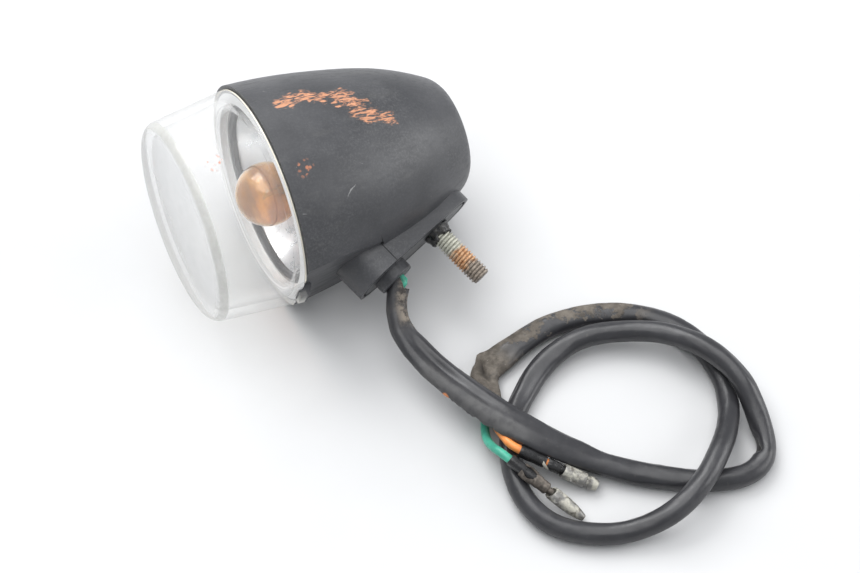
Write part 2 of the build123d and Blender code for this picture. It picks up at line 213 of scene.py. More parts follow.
def mesh_piece(name, rings, closed_ring=True, cap_start=False, cap_end=False, sharp=40, marks=None):
    """A skin over rings of points that all have the same count, with a value of each mark at each point."""
    bm = bmesh.new()
    layers = {mark: bm.verts.layers.float.new(mark) for mark in marks or ()}
    grid = [[bm.verts.new(point) for point in ring] for ring in rings]
    for mark, layer in layers.items():
        for row, values in zip(grid, marks[mark]):
            for vertex, value in zip(row, values):
                vertex[layer] = value
    count = len(grid[0])
    for low, high in zip(grid, grid[1:]):
        for i in range(count if closed_ring else count - 1):
            j = (i + 1) % count
            bm.faces.new((low[i], low[j], high[j], high[i]))
    if cap_start:
        bm.faces.new(reversed(grid[0]))
    if cap_end:
        bm.faces.new(grid[-1])
    return finished_mesh(name, bm, sharp)


def round_point(origin, axis, side, angle, radius, along):
    other = axis.cross(side)
    return origin + (axis * along + (side * cos(angle) + other * sin(angle)) * radius) * MM


def turned(name, origin, axis, side, profile, segments=96, sharp=30, shape=None):
    """A closed piece turned about an axis from (radius, distance along it) pairs in millimetres.

    shape(angle, radius, along) may bend the round form and returns a new radius and distance.
    """
    rings = []
    for radius, along in profile + profile[:1]:
        ring = []
        for k in range(segments):
            angle = FULL * k / segments
            r, z = shape(angle, radius, along) if shape else (radius, along)
            ring.append(round_point(origin, axis, side, angle, r, z))
        rings.append(ring)
    return mesh_piece(name, rings, sharp=sharp)


def sheet_metal(name, origin, axis, side, rows, first, last, wall, columns=40, sharp=35):
    """Thin sheet rolled about an axis between two angles, open along one side.

    rows holds (radius, distance along) pairs, and first, last and the distance may be functions.
    """
    bm = bmesh.new()
    grids = []
    for inset in (0.0, wall):
        grid = []
        for radius, along in rows:
            a, b = first(along), last(along)
            row = []
            for k in range(columns + 1):
                angle = a + (b - a) * k / columns
                z = along(angle) if callable(along) else along
                row.append(bm.verts.new(round_point(origin, axis, side, angle, radius - inset, z)))
            grid.append(row)
        grids.append(grid)
    outer, inner = grids
    for g in grids:
        for low, high in zip(g, g[1:]):
            for k in range(columns):
                bm.faces.new((low[k], low[k + 1], high[k + 1], high[k]))
    for o, i in ((outer[0], inner[0]), (outer[-1], inner[-1])):
        for k in range(columns):
            bm.faces.new((o[k], o[k + 1], i[k + 1], i[k]))
    for k in (0, columns):
        for row in range(len(rows) - 1):
            bm.faces.new((outer[row][k], outer[row + 1][k], inner[row + 1][k], inner[row][k]))
    return finished_mesh(name, bm, sharp)


def place(piece, body, slot, *replaced):
    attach(piece, body)
    if replaced:
        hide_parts(*replaced)
    return piece


def finish_with(piece, *materials):
    piece.data.materials.clear()
    for material in materials:
        piece.data.materials.append(material)
    return piece


# ---------------------------------------------------------------- material helpers
class Finish:
    """One Principled material and the node chains that the finishes share."""

    def __init__(self, name, colour, roughness, **sockets):
        self.material = bpy.data.materials.new(name)
        self.material.use_nodes = True
        self.tree = self.material.node_tree
        self.shader = self.tree.nodes["Principled BSDF"]
        self.shader.inputs["Base Color"].default_value = (*colour, 1.0)
        self.shader.inputs["Roughness"].default_value = roughness
        for key, value in sockets.items():
            self.shader.inputs[key.replace("_", " ")].default_value = value
        self.where = self.tree.nodes.new("ShaderNodeTexCoord").outputs["Object"]

    def node(self, kind, inputs=(), **settings):
        made = self.tree.nodes.new("ShaderNode" + kind)
        for key, value in settings.items():
            setattr(made, key, value)
        for key, value in dict(inputs).items():
            if isinstance(value, bpy.types.NodeSocket):
                self.tree.links.new(value, made.inputs[key])
            else:
                made.inputs[key].default_value = value
        return made

    def scaled(self, stretch, turn):
        """The object's own coordinates turned and stretched, for marks that run one way."""
        inputs = {"Vector": self.where, "Scale": stretch, "Rotation": turn}
        return self.node("Mapping", inputs).outputs[0]

    def noise(self, scale, detail=4.0, rough=0.55, where=None, distortion=0.0):
        inputs = {"Vector": where or self.where, "Scale": scale, "Detail": detail}
        inputs.update({"Roughness": rough, "Distortion": distortion})
        return self.node("TexNoise", inputs).outputs["Fac"]

    def cells(self, scale):
        """Distance to the nearest of many scattered points."""
        inputs = {"Vector": self.where, "Scale": scale}
        return self.node("TexVoronoi", inputs, feature="F1").outputs["Distance"]

    def ramp(self, value, low, high, start=0.0, end=1.0):
        inputs = {"Value": value, "From Min": low, "From Max": high, "To Min": start, "To Max": end}
        return self.node("MapRange", inputs, interpolation_type="SMOOTHSTEP").outputs["Result"]

    def maths(self, operation, a, b=0.0, c=0.0, clamp=False):
        return self.node("Math", {0: a, 1: b, 2: c}, operation=operation, use_clamp=clamp).outputs[0]

    def vector(self, operation, a, b):
        return self.node("VectorMath", {0: a, 1: b}, operation=operation)

    def along(self, origin, direction):
        """Distance in millimetres along a direction from a point of the object."""
        offset = self.vector("SUBTRACT", self.where, tuple(origin)).outputs[0]
        reach = self.vector("DOT_PRODUCT", offset, tuple(direction)).outputs["Value"]
        return self.maths("MULTIPLY", reach, 1 / MM)

    def off_axis(self, origin, axis):
        """Distance in millimetres from an axis of the object."""
        offset = self.vector("SUBTRACT", self.where, tuple(origin)).outputs[0]
        arm = self.vector("CROSS_PRODUCT", offset, tuple(axis)).outputs[0]
        length = self.node("VectorMath", {0: arm}, operation="LENGTH").outputs["Value"]
        return self.maths("MULTIPLY", length, 1 / MM)

    def stroke(self, start, end, half, soft, wander=0.0):
        """1 along a straight mark between two points of the object, fading out at its edge, in millimetres."""
        where = self.where
        if wander:
            cloud = self.node("TexNoise", {"Vector": where, "Scale": 260.0, "Detail": 3.0}).outputs["Color"]
            moved = self.vector("SUBTRACT", cloud, (0.5, 0.5, 0.5)).outputs[0]
            moved = self.node("VectorMath", {0: moved, "Scale": wander * MM}, operation="SCALE").outputs[0]
            where = self.vector("ADD", where, moved).outputs[0]
        line = end - start
        offset = self.vector("SUBTRACT", where, tuple(start)).outputs[0]
        reach = self.vector("DOT_PRODUCT", offset, tuple(line / line.length_squared)).outputs["Value"]
        reach = self.node("Clamp", {"Value": reach}).outputs[0]
        foot = self.node("VectorMath", {0: tuple(line), "Scale": reach}, operation="SCALE").outputs[0]
        gap = self.vector("DISTANCE", offset, foot).outputs["Value"]
        return self.ramp(gap, half * MM, (half + soft) * MM, 1.0, 0.0)

    def mark(self, name):
        return self.node("Attribute", attribute_name=name).outputs["Fac"]

    def largest(self, *sockets):
        most = sockets[0]
        for socket in sockets[1:]:
            most = self.maths("MAXIMUM", most, socket)
        return most

    def product(self, *sockets):
        whole = sockets[0]
        for socket in sockets[1:]:
            whole = self.maths("MULTIPLY", whole, socket)
        return whole

    def near(self, point, inner, outer):
        """1 within the inner distance of a point, 0 beyond the outer one, in millimetres."""
        gap = self.vector("DISTANCE", self.where, tuple(point)).outputs["Value"]
        return self.ramp(gap, inner * MM, outer * MM, 1.0, 0.0)

    def tint(self, factor, a, b):
        made = self.node("Mix", {"Factor": factor}, data_type="RGBA")
        for socket, colour in ((made.inputs[6], a), (made.inputs[7], b)):
            if isinstance(colour, bpy.types.NodeSocket):
                self.tree.links.new(colour, socket)
            else:
                socket.default_value = (*colour, 1.0)
        return made.outputs[2]

    def colour(self, socket):
        self.tree.links.new(socket, self.shader.inputs["Base Color"])

    def rough(self, socket):
        self.tree.links.new(socket, self.shader.inputs["Roughness"])

    def bump(self, *layers):
        """Height layers as (socket, depth in millimetres)."""
        normal = None
        for height, depth in layers:
            inputs = {"Height": height, "Strength": 1.0, "Distance": depth * MM}
            if normal:
                inputs["Normal"] = normal
            normal = self.node("Bump", inputs).outputs[0]
        self.tree.links.new(normal, self.shader.inputs["Normal"])

    def let_lamps_through(self, tint):
        """Rays from lamps pass straight through, so that what is behind the glass is lit."""
        output = self.tree.nodes["Material Output"]
        path = self.node("LightPath").outputs["Is Shadow Ray"]
        clear = self.node("BsdfTransparent", {"Color": (*tint, 1.0)}).outputs[0]
        mix = self.node("MixShader", {0: path, 1: self.shader.outputs[0], 2: clear}).outputs[0]
        self.tree.links.new(mix, output.inputs["Surface"])


# ---------------------------------------------------------------- finishes
SEAM_AT = 17.8                                          # the foot's seam, from the stud towards the wires, mm


def housing_finish():
    """Black moulded plastic, rubbed and scratched, with worn dabs of orange paint."""
    m = Finish("housing_abs", (0.035, 0.037, 0.042), 0.42, Specular_IOR_Level=0.5)
    cloudy = m.noise(55.0, 4.0)
    dusty = m.noise(1.0, 5.0, where=m.scaled((70.0, 240.0, 180.0), turn=(0.2, 0.4, 1.1)))
    colour = m.tint(m.ramp(cloudy, 0.35, 0.7), (0.038, 0.039, 0.043), (0.058, 0.059, 0.064))
    colour = m.tint(m.ramp(dusty, 0.55, 0.85, 0.0, 0.5), colour, (0.095, 0.094, 0.092))
    # fine grain all over, and rubbed patches where it is denser
    patches = m.ramp(m.noise(45.0, 3.0), 0.40, 0.68, 0.35, 1.0)
    rubbed_grey = m.maths("MULTIPLY", patches, m.ramp(m.noise(1500.0, 7.0, 0.75), 0.44, 0.66, 0.0, 0.34))
    colour = m.tint(rubbed_grey, colour, (0.150, 0.150, 0.153))
    # thin dark seam down the foot's side walls
    across = m.maths("ABSOLUTE", m.maths("SUBTRACT", m.along(STUD, WIREWARD), SEAM_AT))
    seam = m.product(m.ramp(across, 0.06, 0.2, 1.0, 0.0), m.ramp(m.along(STUD, OUT), -7.5, -6.5))
    colour = m.tint(seam, colour, (0.008, 0.008, 0.009))
    # worn patches of orange paint rubbed over the top, and a few specks near the rim
    rubbed = m.largest(
        m.stroke(lamp_point(-13.7, -27.6, 8.0), lamp_point(-15.0, -26.4, 11.6), 1.3, 2.0, 5.0),
        m.stroke(lamp_point(-15.2, -25.8, 14.4), lamp_point(-12.4, -26.9, 18.6), 0.9, 2.1, 6.0),
        m.stroke(lamp_point(-12.6, -26.2, 20.0), lamp_point(-11.6, -25.6, 27.2), 0.6, 1.7, 6.0),
        m.stroke(lamp_point(-9.6, -27.0, 23.4), lamp_point(-7.6, -26.0, 30.4), 0.7, 1.9, 6.0),
        m.stroke(lamp_point(-4.6, -27.4, 26.0), lamp_point(-0.8, -25.7, 34.4), 0.8, 2.0, 6.0),
    )
    streaks = m.noise(1.0, 6.0, where=m.scaled((260.0, 1100.0, 620.0), turn=(0.5, 0.2, 0.7)), distortion=1.2)
    paint = m.ramp(m.product(rubbed, m.ramp(streaks, 0.38, 0.62)), 0.08, 0.66, 0.0, 0.88)
    spots = m.ramp(m.cells(620.0), 0.24, 0.44, 1.0, 0.0)
    spots = m.product(m.near(lamp_point(6.0, -30.8, 5.8), 1.7, 3.1), spots)
    orange = m.tint(m.ramp(streaks, 0.42, 0.62), (0.26, 0.11, 0.06), (0.60, 0.28, 0.155))
    colour = m.tint(paint, colour, orange)
    colour = m.tint(m.product(spots, m.ramp(m.noise(420.0), 0.36, 0.46)), colour, (0.40, 0.16, 0.09))
    # single scratches and short nicks
    scratches = m.largest(
        m.stroke(lamp_point(16.6, -27.2, 1.3), lamp_point(18.4, -24.7, 9.9), 0.03, 0.12, 0.3),
        m.stroke(lamp_point(15.9, -25.7, 14.6), lamp_point(14.4, -26.3, 16.8), 0.02, 0.35, 2.4),
        m.stroke(lamp_point(14.9, -26.2, 16.0), lamp_point(13.6, -26.7, 18.4), 0.02, 0.30, 2.0),
        m.stroke(lamp_point(1.2, -28.9, 21.0), lamp_point(1.9, -28.4, 23.0), 0.02, 0.2, 1.4),
        m.stroke(lamp_point(7.6, -28.2, 19.8), lamp_point(9.0, -27.4, 22.0), 0.03, 0.12, 0.6),
        m.stroke(lamp_point(-10.8, -22.5, 37.4), lamp_point(-9.6, -22.5, 39.0), 0.05, 0.15, 0.4),
        m.stroke(lamp_point(-20.2, -24.0, 5.9), lamp_point(-19.6, -24.3, 6.6), 0.08, 0.15, 0.3),
        m.stroke(lamp_point(-6.9, -15.6, 54.6), lamp_point(-5.6, -16.6, 53.8), 0.03, 0.14, 0.8),
    )
    hairs = m.noise(1.0, 6.0, where=m.scaled((180.0, 4200.0, 2600.0), turn=(0.3, 0.5, 0.9)))
    grains = m.ramp(m.cells(420.0), 0.03, 0.07, 1.0, 0.0)
    scratches = m.product(scratches, m.ramp(m.noise(1600.0), 0.35, 0.5))
    marks = m.largest(scratches, m.ramp(hairs, 0.74, 0.82, 0.0, 0.6))
    colour = m.tint(marks, colour, (0.26, 0.26, 0.26))
    colour = m.tint(m.product(grains, m.ramp(m.noise(160.0), 0.5, 0.62)), colour, (0.16, 0.16, 0.155))
    # painted highlight: a pale cream line on the lip that the lens sits in, towards the lamp's underside, where
    # the lens's clear edge catches the light
    away = m.off_axis(JOINT, REAR)
    lip_highlight = m.product(m.ramp(m.along(JOINT, REAR), 0.18, 0.34, 1.0, 0.0), m.ramp(away, 30.2, 30.6))
    lip_highlight = m.product(lip_highlight, m.ramp(away, 32.1, 32.4, 1.0, 0.0), m.ramp(m.along(JOINT, DOWN), -5.0, 5.0))
    colour = m.tint(lip_highlight, colour, (0.62, 0.61, 0.57))
    m.colour(colour)
    scuffs = m.noise(1.0, 6.0, where=m.scaled((90.0, 900.0, 900.0), turn=(0.3, 0.5, 0.9)))
    m.rough(m.largest(m.ramp(scuffs, 0.45, 0.75, 0.40, 0.54), m.ramp(paint, 0.0, 1.0, 0.0, 0.7)))
    fine, broad = m.noise(9000.0, 2.0), m.noise(300.0, 3.0)
    m.bump((seam, -0.12), (fine, 0.010), (broad, 0.02), (paint, 0.03), (marks, -0.02))
    return m.material


def sleeve_finish(dirty_from, folded_from, torn):
    """Soft black sleeving: dusty where it leaves the lamp, caked with road dirt towards its folded end, with
    painted shade in its dents and on the shaded side of its first stretch.
    """
    m = Finish("sleeve_pvc", (0.02, 0.02, 0.022), 0.42)
    run, lift, side = m.mark("run"), m.mark("lift"), m.mark("side")
    colour = m.tint(m.ramp(m.noise(90.0, 5.0), 0.4, 0.7), (0.026, 0.026, 0.029), (0.040, 0.040, 0.044))
    colour = m.tint(m.ramp(m.noise(700.0, 5.0), 0.60, 0.72, 0.0, 0.5), colour, (0.058, 0.056, 0.053))
    # the flattened flap past the first bend is scuffed grey
    flap = m.product(m.ramp(side, -0.1, 0.35), m.ramp(run, RUNS[4], RUNS[5]))
    flap = m.product(flap, m.ramp(run, RUNS[7] - 4.0, RUNS[7] + 4.0, 1.0, 0.0))
    scuffed = m.product(flap, m.ramp(m.noise(420.0, 5.0), 0.35, 0.6, 0.35, 0.9))
    colour = m.tint(scuffed, colour, (0.070, 0.069, 0.069))
    clumps = m.noise(380.0, 6.0, 0.7)
    grit = m.tint(m.ramp(m.noise(260.0, 8.0, 0.72), 0.34, 0.68), (0.066, 0.056, 0.046), (0.165, 0.145, 0.122))
    # first stretch: beige dirt kept to the lit side; the shaded side is left black, so the split is painted
    # light and shade as well as dirt
    first = m.product(m.ramp(run, 9.0, 15.0, 1.0, 0.0), m.ramp(clumps, 0.34, 0.54, 0.15, 1.0))
    first = m.product(first, m.ramp(side, -0.5, 0.35, 1.0, 0.06))
    pale = m.tint(m.ramp(m.noise(330.0, 8.0, 0.72), 0.41, 0.57), (0.046, 0.040, 0.037), (0.235, 0.202, 0.165))
    # last stretch: brown-grey cake on top with black patches rubbed through it
    height = m.maths("MULTIPLY_ADD", lift, 0.05, m.maths("MULTIPLY", side, 0.11))
    cover = m.maths("ADD", m.noise(210.0, 7.0, 0.68), height)
    last = m.product(m.ramp(run, dirty_from, dirty_from + 9.0), m.ramp(cover, 0.505, 0.555))
    caked = m.product(m.ramp(run, folded_from - 7.0, folded_from + 2.0), m.ramp(clumps, 0.30, 0.46, 0.6, 1.0))
    last = m.largest(last, caked)
    dirt = m.largest(last, first)
    colour = m.tint(last, colour, grit)
    oily = m.product(caked, m.ramp(m.noise(240.0, 4.0), 0.52, 0.66, 0.0, 0.7))
    colour = m.tint(oily, colour, (0.045, 0.038, 0.028))
    colour = m.tint(first, colour, pale)
    specks = m.product(m.ramp(m.cells(1100.0), 0.10, 0.17, 1.0, 0.0), dirt)
    specks = m.product(specks, m.ramp(m.noise(900.0), 0.56, 0.62, 0.0, 0.8))
    colour = m.tint(specks, colour, (0.30, 0.27, 0.235))
    # painted shade: darker in the pressed dents and creases, the deeper the darker
    colour = m.tint(m.ramp(m.mark("dent"), 0.5, 1.6, 0.0, 0.72), colour, (0.022, 0.019, 0.016))
    colour = m.tint(m.near(torn, 0.8, 1.3), colour, (0.60, 0.22, 0.08))
    m.colour(colour)
    clean = m.ramp(m.noise(500.0, 4.0), 0.35, 0.7, 0.29, 0.40)
    m.rough(m.largest(clean, m.maths("MULTIPLY", flap, 0.55), m.ramp(dirt, 0.0, 1.0, 0.0, 0.85)))
    grainy = m.product(dirt, clumps)
    m.bump((m.noise(1500.0, 3.0), 0.02), (grainy, 0.12), (m.noise(60.0, 3.0), 0.25))
    return m.material


def stud_finish():
    """Zinc gone pale near the lamp, rusted in the middle, dull brown at the tip."""
    m = Finish("stud_steel", (0.42, 0.38, 0.33), 0.5, Metallic=0.25)
    out = m.along(STUD, OUT)
    out = m.maths("ADD", out, m.maths("MULTIPLY", m.noise(420.0, 4.0), 5.0))
    mottle = m.ramp(m.noise(1300.0, 4.0), 0.35, 0.65)
    zinc = m.tint(mottle, (0.46, 0.46, 0.39), (0.70, 0.70, 0.61))
    rust = m.tint(mottle, (0.45, 0.20, 0.08), (0.72, 0.48, 0.29))
    dull = m.tint(mottle, (0.21, 0.175, 0.145), (0.42, 0.36, 0.30))
    colour = m.tint(m.ramp(out, 10.0, 12.0), zinc, rust)
    colour = m.tint(m.ramp(out, 15.4, 17.2), colour, dull)
    away = m.off_axis(STUD, OUT)
    colour = m.tint(m.ramp(away, 2.35, 2.7, 0.55, 0.0), colour, (0.05, 0.045, 0.038))
    m.colour(colour)
    m.rough(m.ramp(m.noise(900.0, 4.0), 0.3, 0.7, 0.38, 0.7))
    m.bump((m.noise(2600.0, 4.0), 0.03))
    return m.material


def tin_finish():
    """Tin plate with chalky white bloom, grey wear and brown stains."""
    m = Finish("terminal_tin", (0.6, 0.58, 0.55), 0.42, Metallic=0.35)
    blotch = m.noise(330.0, 5.0, 0.6)
    colour = m.tint(m.ramp(blotch, 0.44, 0.60), (0.21, 0.205, 0.195), (0.50, 0.485, 0.42))
    colour = m.tint(m.ramp(m.noise(620.0, 5.0), 0.55, 0.68, 0.0, 0.7), colour, (0.10, 0.088, 0.074))
    colour = m.tint(m.ramp(m.noise(700.0, 3.0), 0.62, 0.72, 0.0, 0.8), colour, (0.78, 0.77, 0.72))
    m.colour(colour)
    m.rough(m.ramp(blotch, 0.4, 0.6, 0.30, 0.62))
    m.bump((m.noise(1700.0, 4.0), 0.04), (blotch, 0.06))
    return m.material


def residue_finish():
    """Shiny black sealant squeezed out round the stud."""
    m = Finish("thread_residue", (0.012, 0.012, 0.013), 0.2)
    m.colour(m.tint(m.ramp(m.noise(900.0, 4.0), 0.4, 0.65), (0.008, 0.008, 0.009), (0.04, 0.038, 0.034)))
    m.rough(m.ramp(m.noise(1400.0, 3.0), 0.35, 0.65, 0.10, 0.5))
    m.bump((m.noise(1300.0, 4.0), 0.12))
    return m.material


def lens_finish():
    """Clear plastic with a faint haze, thicker where it is seen edge on; with painted shade at the plate's
    corner and on walls seen edge on, and a painted highlight along its rim.
    """
    m = Finish("clear_lens", (0.93, 0.935, 0.93), 0.07, IOR=1.49)
    behind, away = m.along(JOINT, REAR), m.off_axis(JOINT, REAR)
    haze = m.ramp(m.noise(75.0, 4.0), 0.35, 0.75, 0.035, 0.085)
    plate = m.ramp(behind, -22.0, -21.2, 0.12, 0.0)
    # painted shade: a grey band where the front plate turns into the wall, standing in for the darkening that
    # refraction gives at that corner
    corner_shade = m.product(m.ramp(behind, -22.2, -21.4, 1.0, 0.0), m.ramp(behind, -24.5, -23.7))
    corner_shade = m.product(corner_shade, m.ramp(away, 24.9, 25.7))
    # the lens's rim by the joint, and the corner at its notch (step): both carry a painted highlight below
    edge = m.product(m.ramp(behind, -0.85, -0.6), m.ramp(away, LENS_R - 0.55, LENS_R - 0.35))
    upper = m.ramp(m.along(JOINT, DOWN), -8.0, 4.0, 1.0, 0.12)
    frosted = m.product(m.ramp(behind, -2.2, -1.3), m.ramp(away, 25.5, 26.1))
    frosted = m.product(frosted, m.ramp(away, LENS_R - 1.3, LENS_R - 0.8, 1.0, 0.0))
    step = m.product(m.near(lamp_point(29.6, 0.6, -0.4), 1.0, 2.6), m.ramp(away, 28.0, 29.0))
    glance = m.ramp(m.node("LayerWeight", {"Blend": 0.35}).outputs["Facing"], 0.28, 0.92, 0.03, 0.48)
    dust = m.ramp(m.cells(620.0), 0.26, 0.42, 1.0, 0.0)
    dust = m.product(m.near(lamp_point(-4.1, -28.9, -15.9), 1.9, 3.2), dust)
    alpha = m.maths("ADD", m.maths("ADD", haze, plate, clamp=True), glance, clamp=True)
    alpha = m.largest(alpha, m.product(corner_shade, m.ramp(m.noise(160.0), 0.3, 0.7, 0.50, 0.72)))
    alpha = m.largest(alpha, m.product(edge, upper), m.maths("MULTIPLY", frosted, 0.88))
    alpha = m.largest(alpha, m.maths("MULTIPLY", step, 0.5))
    alpha = m.largest(alpha, m.product(dust, m.ramp(m.noise(500.0), 0.36, 0.44, 0.0, 0.85)))
    m.tree.links.new(alpha, m.shader.inputs["Alpha"])
    body = m.tint(m.ramp(m.noise(55.0, 4.0), 0.35, 0.7), (0.83, 0.835, 0.835), (0.90, 0.902, 0.895))
    # painted shade: the lens's body colour is darkened where a wall is seen edge on
    grazing_shade = m.node("LayerWeight", {"Blend": 0.5}).outputs["Facing"]
    body = m.tint(m.ramp(grazing_shade, 0.62, 0.95, 0.0, 0.85), body, (0.40, 0.40, 0.39))
    colour = m.tint(m.maths("MULTIPLY", frosted, 0.9), body, (0.96, 0.96, 0.955))
    # painted shade: grey over the plate's corner band
    colour = m.tint(corner_shade, colour, (0.50, 0.50, 0.465))
    # painted highlight: a bright cream line on the rim and at the notch corner, strongest towards the top
    colour = m.tint(m.product(m.largest(edge, step), upper), colour, (0.74, 0.70, 0.58))
    colour = m.tint(dust, colour, (0.50, 0.20, 0.12))
    m.colour(colour)
    m.rough(m.ramp(m.noise(240.0, 4.0), 0.35, 0.7, 0.04, 0.16))
    m.bump((m.noise(110.0, 2.0), 0.03))
    m.let_lamps_through((0.97, 0.97, 0.965))
    return m.material


def mirror_finish():
    """The reflector's bright coating, clouded and specked."""
    m = Finish("mirror", (0.93, 0.93, 0.925), 0.2, Metallic=1.0)
    clouds = m.ramp(m.noise(160.0, 4.0), 0.35, 0.75)
    colour = m.tint(clouds, (0.88, 0.88, 0.88), (0.68, 0.70, 0.725))
    specks = m.product(m.ramp(m.cells(260.0), 0.035, 0.05, 1.0, 0.0), m.ramp(m.noise(300.0), 0.5, 0.56))
    m.colour(m.tint(specks, colour, (0.10, 0.09, 0.09)))
    m.rough(m.ramp(m.noise(220.0, 4.0), 0.3, 0.7, 0.24, 0.40))
    m.bump((m.noise(90.0, 2.0), 0.15))
    return m.material


def amber_finish():
    """Amber-brown coated glass: part of the light passes, part is held in the coating."""
    m = Finish(
        "amber_glass", (0.80, 0.42, 0.15), 0.04,
        Transmission_Weight=0.74, IOR=1.42, Coat_Weight=1.0, Coat_Roughness=0.04,
    )
    streak = m.noise(1.0, 4.0, where=m.scaled((260.0, 60.0, 60.0), (0, 0, 0)))
    m.colour(m.tint(m.ramp(streak, 0.4, 0.62), (0.95, 0.56, 0.075), (0.56, 0.28, 0.028)))
    m.rough(m.ramp(m.noise(400.0, 3.0), 0.35, 0.7, 0.01, 0.05))
    m.bump((m.noise(150.0, 2.0), 0.03))
    m.let_lamps_through((0.93, 0.66, 0.34))
    return m.material


def plain(name, colour, rough, vary=0.25, scale=900.0, **sockets):
    """A finish with a little cloud in its colour and its gloss."""
    m = Finish(name, colour, rough, **sockets)
    patch = m.ramp(m.noise(scale, 5.0), 0.3, 0.75)
    darker = tuple(c * (1 - vary) for c in colour)
    lighter = tuple(min(1.0, c * (1 + vary)) for c in colour)
    m.colour(m.tint(patch, darker, lighter))
    m.rough(m.ramp(m.noise(scale * 1.7, 4.0), 0.3, 0.75, rough * 0.8, min(1.0, rough * 1.3)))
    m.bump((m.noise(scale * 3, 3.0), 0.01))
    return m.material


def glass(name, colour, rough, ior, lamp_tint):
    m = Finish(name, colour, rough, Transmission_Weight=1.0, IOR=ior)
    m.bump((m.noise(120.0, 2.0), 0.03))
    m.let_lamps_through(lamp_tint)
    return m.material


FINISHES = {
    "housing_abs": housing_finish(),
    "clear_lens": lens_finish(),
    "black_rubber": plain("black_rubber", (0.042, 0.043, 0.047), 0.42),
    "mirror": mirror_finish(),
    "holder_steel": plain("holder_steel", (0.62, 0.61, 0.58), 0.35, 0.2, Metallic=1.0),
    "stud_steel": stud_finish(),
    "brass": plain("brass", (0.72, 0.55, 0.27), 0.35, 0.2, Metallic=1.0),
    "fibre": plain("fibre", (0.30, 0.17, 0.09), 0.8),
    "amber_glass": amber_finish(),
    "bulb_clear": glass("bulb_clear", (0.95, 0.97, 0.97), 0.02, 1.5, (0.9, 0.92, 0.92)),
    "black_glass": plain("black_glass", (0.03, 0.03, 0.03), 0.15),
    "solder": plain("solder", (0.66, 0.65, 0.63), 0.4, Metallic=1.0),
    "tungsten": plain("tungsten", (0.3, 0.3, 0.31), 0.4, Metallic=1.0),
    "spring_steel": plain("spring_steel", (0.55, 0.55, 0.55), 0.3, Metallic=1.0),
    "sleeve_pvc": sleeve_finish(RUNS[36] - 5.0, RUNS[40], TORN),
    "green_wire": plain("green_wire", (0.055, 0.36, 0.25), 0.38, 0.2, 400.0),
    "orange_wire": plain("orange_wire", (0.80, 0.27, 0.07), 0.38, 0.18, 400.0),
    "boot_black": plain("boot_black", (0.016, 0.016, 0.017), 0.28, 0.4, 500.0),
    "crimp_dark": plain("crimp_dark", (0.125, 0.108, 0.092), 0.5, 0.45, 800.0, Metallic=0.45),
    "terminal_tin": tin_finish(),
}
slot_of = {part["node"]: part["material_slot"] for part in frame["record"]["subparts"]}
for name, node in nodes.items():
    finish_with(node, FINISHES[slot_of[name]])

# ---------------------------------------------------------------- edges of the CAD pieces
for name, width in (("housing", 0.35), ("socket_bracket", 0.15), ("stud_nut", 0.25)):
    bevel = nodes[name].modifiers.new("rounded", "BEVEL")
    bevel.width, bevel.segments, bevel.limit_method, bevel.angle_limit = width * MM, 2, "ANGLE", radians(25)
    bevel.harden_normals = True


# ---------------------------------------------------------------- sleeve
def tube_frames(points):
    """Tangent, sideways and up vectors at each point of a path."""
    frames = []
    for i, here in enumerate(points):
        tangent = (points[min(i + 1, len(points) - 1)] - points[max(i - 1, 0)]).normalized()
        side = tangent.cross(Vector((0, 0, 1))).normalized()
        frames.append((here, tangent, side, side.cross(tangent).normalized()))
    return frames


def smooth(x):
    x = min(1.0, max(0.0, x))
    return x * x * (3 - 2 * x)


def bell(x, width):
    return exp(-(x / width) ** 2)


# half width, half height and depth of the furrow along the top, from point to point of the route
STATIONS = (
    (0, 3.2, 2.7, 0.3), (1, 2.9, 2.8, 0.5), (2, 3.0, 2.7, 0.3), (3, 3.4, 2.4, 0.5), (4, 4.0, 2.15, 0.85),
    (5, 4.25, 2.1, 1.1), (6, 4.6, 2.1, 0.5), (7, 4.5, 2.3, 0.12), (8, 4.0, 2.5, 0.0), (9, 3.5, 2.7, 0.0),
    (11, 3.05, 3.0, 0.0), (20, 3.0, 3.0, 0.0), (21, 3.3, 2.7, 0.3), (22, 3.5, 2.5, 0.45), (23, 3.1, 2.9, 0.15),
    (25, 3.0, 3.0, 0.0), (33, 3.0, 3.0, 0.0), (34, 3.3, 2.75, 0.2), (36, 3.1, 2.9, 0.0), (38, 3.4, 2.6, 0.1),
    (39, 3.7, 2.4, 0.2), (40, 4.1, 2.3, 0.2), (41, 4.0, 2.4, 0.1), (42, 3.8, 2.4, 0.5), (43, 3.3, 2.7, 0.1),
)


def station(run):
    for (a, *low), (b, *high) in zip(STATIONS, STATIONS[1:]):
        if run <= RUNS[b]:
            part = smooth((run - RUNS[a]) / max(RUNS[b] - RUNS[a], 1e-6))
            return [p + (q - p) * part for p, q in zip(low, high)]
    return list(STATIONS[-1][1:])


# dents pressed into the sleeve: route point, how far past it, turn round the sleeve, length, width, depth
DENTS = (
    (8, 7.0, 120, 2.6, 26, 0.55), (9, -5.0, 165, 5.0, 30, 0.35), (16, 3.0, 40, 5.0, 30, 0.4),
    (22, 1.0, 20, 5.5, 34, 0.9), (33, 4.0, 30, 4.5, 30, 0.8), (35, -2.0, 150, 5.0, 30, 0.4),
    (13, 2.0, 150, 1.3, 34, 1.5), (14, -1.0, 175, 2.6, 40, 1.3), (13, 0.5, 60, 2.0, 24, -0.4),
    (41, -1.8, 34, 0.8, 20, 1.3), (41, -0.7, 54, 0.8, 20, 1.7), (41, 0.4, 76, 0.8, 20, 1.8),
    (41, 1.6, 98, 0.8, 20, 1.7), (41, 2.8, 120, 0.9, 20, 1.3),
    (41, 4.6, 0, 2.2, 44, 1.3), (41, -3.6, 4, 1.6, 36, -0.9), (40, 2.0, 140, 1.8, 30, 0.8),
    (39, 5.0, 110, 2.0, 26, 0.7),
)
AROUND = 48                                             # points in one ring of the sleeve


